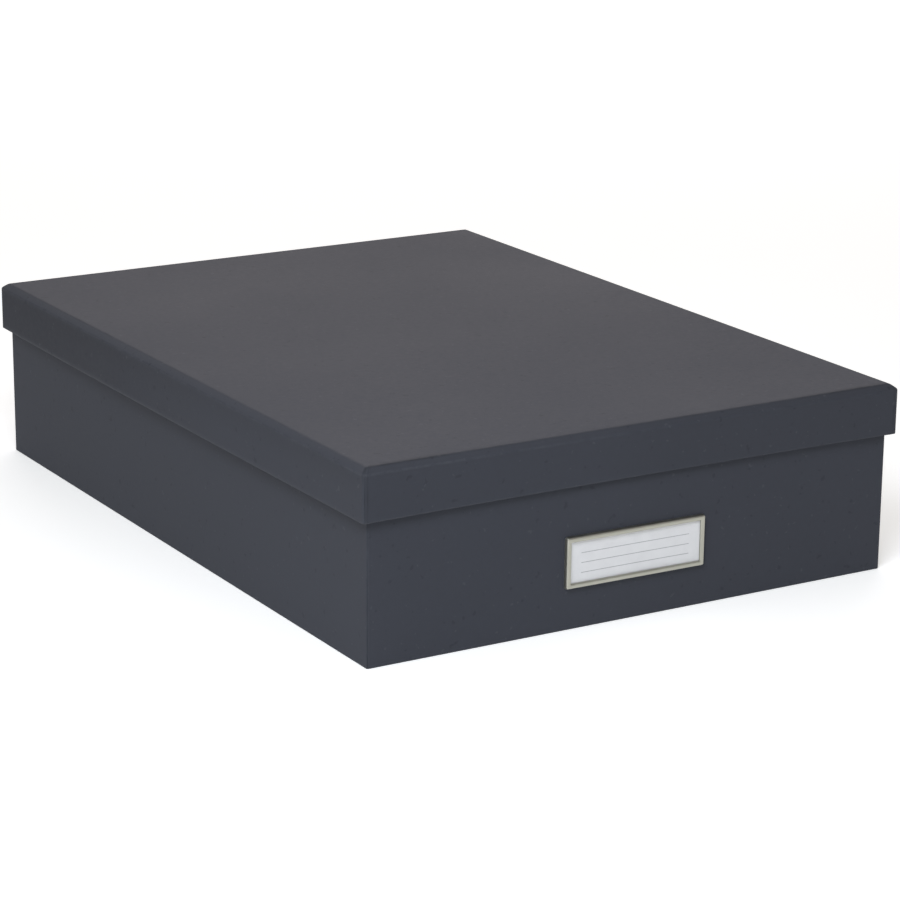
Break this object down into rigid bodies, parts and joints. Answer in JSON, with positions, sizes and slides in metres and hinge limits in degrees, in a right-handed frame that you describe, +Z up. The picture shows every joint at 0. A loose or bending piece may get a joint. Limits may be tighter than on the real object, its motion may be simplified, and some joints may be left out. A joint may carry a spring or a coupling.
{
  "type": "lidded document storage box",
  "caption": "Low rectangular document box of dark slate paper-wrapped board, with a lift-off lid and a metal-framed card label on one short side.",
  "frame": {"origin": "centre of the lidded box's footprint, on the surface it stands on", "axes": "+Z up; the label side faces -Y and the long sides run along Y; +X is to the right seen from the label side"},
  "size_m": [0.26, 0.355, 0.0828],
  "materials": {
    "wrapped_board": "dark slate paper bonded over board, matte with a soft sheen at low angles, fine fibre texture",
    "label_metal": "satin, warm nickel-coloured stamped sheet",
    "label_paper": "plain uncoated white card, matte"
  },
  "bodies": {
    "base": {"box_base": "wrapped_board", "label_frame": "label_metal", "label_card": "label_paper"},
    "lid": {"lid": "wrapped_board"}
  },
  "joints": [
    {"name": "lid_lift", "type": "slide", "parent": "base", "child": "lid", "axis": [0, 0, 1], "range_m": [0, 0.12]}
  ]
}
